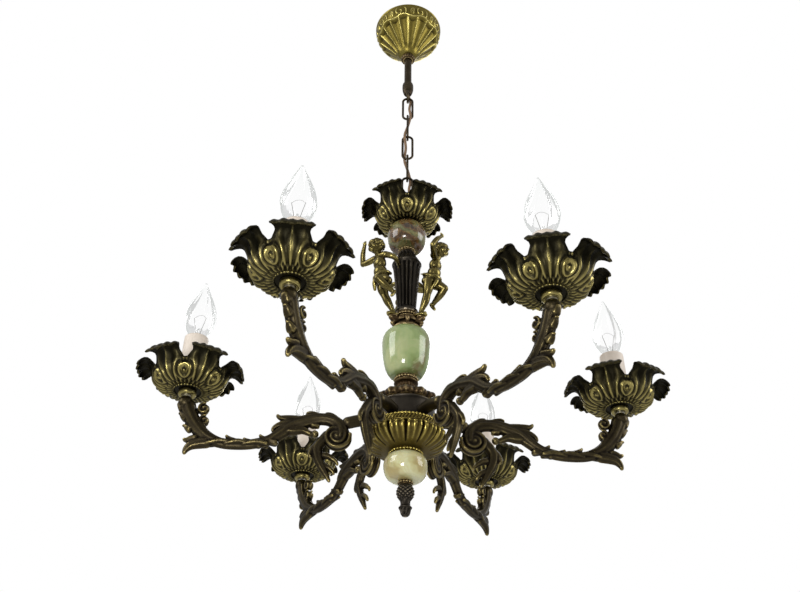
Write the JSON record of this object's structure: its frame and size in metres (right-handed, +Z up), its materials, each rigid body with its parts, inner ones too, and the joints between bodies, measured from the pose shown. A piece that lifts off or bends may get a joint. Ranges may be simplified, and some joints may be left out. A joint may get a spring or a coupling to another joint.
{
  "type": "multi arm chandelier",
  "caption": "Hanging brass chandelier with scroll arms, leaf cups and candle lights, on a chain below a sliding ceiling rose.",
  "frame": {"origin": "on the ceiling, midway between the two screws of the ceiling bracket", "axes": "+Z up along the stem, +X through the two ceiling screws; the arms are turned 3.8 degrees from +X"},
  "size_m": [0.5772, 0.523, 0.7542],
  "materials": {
    "antique_brass": "antique brass, dark in the hollows and rubbed on the ridges",
    "gold_bronze": "gold bronze, half polished",
    "canopy_brass": "pressed brass, bright",
    "gilt_brass": "gilt over dark hollows",
    "chain_brass": "dark aged brass",
    "dark_bronze": "dark bronze with rubbed beads",
    "gunmetal": "blackened brass, satin",
    "onyx_green": "polished green onyx with cream and brown bands",
    "onyx_amber": "polished onyx in brown, red and green",
    "onyx_cream": "polished cream and honey onyx",
    "candle_ivory": "ivory card or plastic, satin",
    "holder_white": "white moulded plastic",
    "terminal_white": "white moulded plastic",
    "flex_gold": "light brown sheathed flex",
    "plated_steel": "zinc plated steel",
    "bulb_glass": "clear glass on a metal screw cap"
  },
  "bodies": {
    "ceiling_mount": {"ceiling_bracket": "plated_steel", "stem_nuts": "plated_steel", "terminal_block": "terminal_white", "stem_tube": "chain_brass", "stem_loop": "chain_brass", "supply_cable": "flex_gold"},
    "canopy": {"canopy": "canopy_brass", "canopy_collar": "dark_bronze"},
    "link_1": {"chain_link_1": "chain_brass"},
    "link_2": {"chain_link_2": "chain_brass"},
    "link_3": {"chain_link_3": "chain_brass"},
    "link_4": {"chain_link_4": "chain_brass"},
    "link_5": {"chain_link_5": "chain_brass"},
    "fixture": {"top_loop": "chain_brass", "top_cup": "antique_brass", "onyx_top": "onyx_amber", "column": "gunmetal", "column_base": "gunmetal", "putto_1": "gold_bronze", "putto_2": "gold_bronze", "putto_3": "gold_bronze", "onyx_vase": "onyx_green", "hub_neck": "dark_bronze", "hub_drum": "gunmetal", "hub_terminal": "terminal_white", "hub_bowl": "gilt_brass", "onyx_bottom": "onyx_cream", "finial": "gunmetal", "beaded_collars": "dark_bronze", "central_rod": "plated_steel", "arm_screws": "plated_steel", "arm_1": "antique_brass", "arm_2": "antique_brass", "arm_3": "antique_brass", "arm_4": "antique_brass", "arm_5": "antique_brass", "arm_6": "antique_brass", "cup_1": "antique_brass", "cup_2": "antique_brass", "cup_3": "antique_brass", "cup_4": "antique_brass", "cup_5": "antique_brass", "cup_6": "antique_brass", "cup_rings": "dark_bronze", "arm_nipples": "plated_steel", "lampholders": "holder_white", "sleeve_1": "candle_ivory", "sleeve_2": "candle_ivory", "sleeve_3": "candle_ivory", "sleeve_4": "candle_ivory", "sleeve_5": "candle_ivory", "sleeve_6": "candle_ivory"},
    "bulb_1": {"bulb_1": "bulb_glass"},
    "bulb_2": {"bulb_2": "bulb_glass"},
    "bulb_3": {"bulb_3": "bulb_glass"},
    "bulb_4": {"bulb_4": "bulb_glass"},
    "bulb_5": {"bulb_5": "bulb_glass"},
    "bulb_6": {"bulb_6": "bulb_glass"}
  },
  "joints": [
    {"name": "canopy_slide", "type": "slide", "parent": "ceiling_mount", "child": "canopy", "axis": [0, 0, -1], "range_m": [0, 0.049]},
    {"name": "chain_swing_1", "type": "hinge", "parent": "ceiling_mount", "child": "link_1", "pos_m": [0, 0, -0.15275], "axis": [0, 1, 0], "range_deg": [-15, 15], "deforming": ["supply_cable"]},
    {"name": "chain_swing_2", "type": "hinge", "parent": "link_1", "child": "link_2", "pos_m": [0, 0, -0.1902], "axis": [1, 0, 0], "range_deg": [-15, 15]},
    {"name": "chain_swing_3", "type": "hinge", "parent": "link_2", "child": "link_3", "pos_m": [0, 0, -0.2279], "axis": [0, 1, 0], "range_deg": [-15, 15]},
    {"name": "chain_swing_4", "type": "hinge", "parent": "link_3", "child": "link_4", "pos_m": [0, 0, -0.2656], "axis": [1, 0, 0], "range_deg": [-15, 15]},
    {"name": "chain_swing_5", "type": "hinge", "parent": "link_4", "child": "link_5", "pos_m": [0, 0, -0.3033], "axis": [0, 1, 0], "range_deg": [-15, 15]},
    {"name": "chain_swing_6", "type": "hinge", "parent": "link_5", "child": "fixture", "pos_m": [0, 0, -0.341], "axis": [1, 0, 0], "range_deg": [-15, 15]},
    {"name": "bulb_turn_1", "type": "hinge", "parent": "fixture", "child": "bulb_1", "pos_m": [0.22949, 0.01524, -0.5612], "axis": [0, 0, 1], "range_deg": [0, 1080]},
    {"name": "bulb_turn_2", "type": "hinge", "parent": "fixture", "child": "bulb_2", "pos_m": [0.10155, 0.20637, -0.5612], "axis": [0, 0, 1], "range_deg": [0, 1080]},
    {"name": "bulb_turn_3", "type": "hinge", "parent": "fixture", "child": "bulb_3", "pos_m": [-0.12795, 0.19113, -0.5612], "axis": [0, 0, 1], "range_deg": [0, 1080]},
    {"name": "bulb_turn_4", "type": "hinge", "parent": "fixture", "child": "bulb_4", "pos_m": [-0.22949, -0.01524, -0.5612], "axis": [0, 0, 1], "range_deg": [0, 1080]},
    {"name": "bulb_turn_5", "type": "hinge", "parent": "fixture", "child": "bulb_5", "pos_m": [-0.10155, -0.20637, -0.5612], "axis": [0, 0, 1], "range_deg": [0, 1080]},
    {"name": "bulb_turn_6", "type": "hinge", "parent": "fixture", "child": "bulb_6", "pos_m": [0.12795, -0.19113, -0.5612], "axis": [0, 0, 1], "range_deg": [0, 1080]}
  ]
}
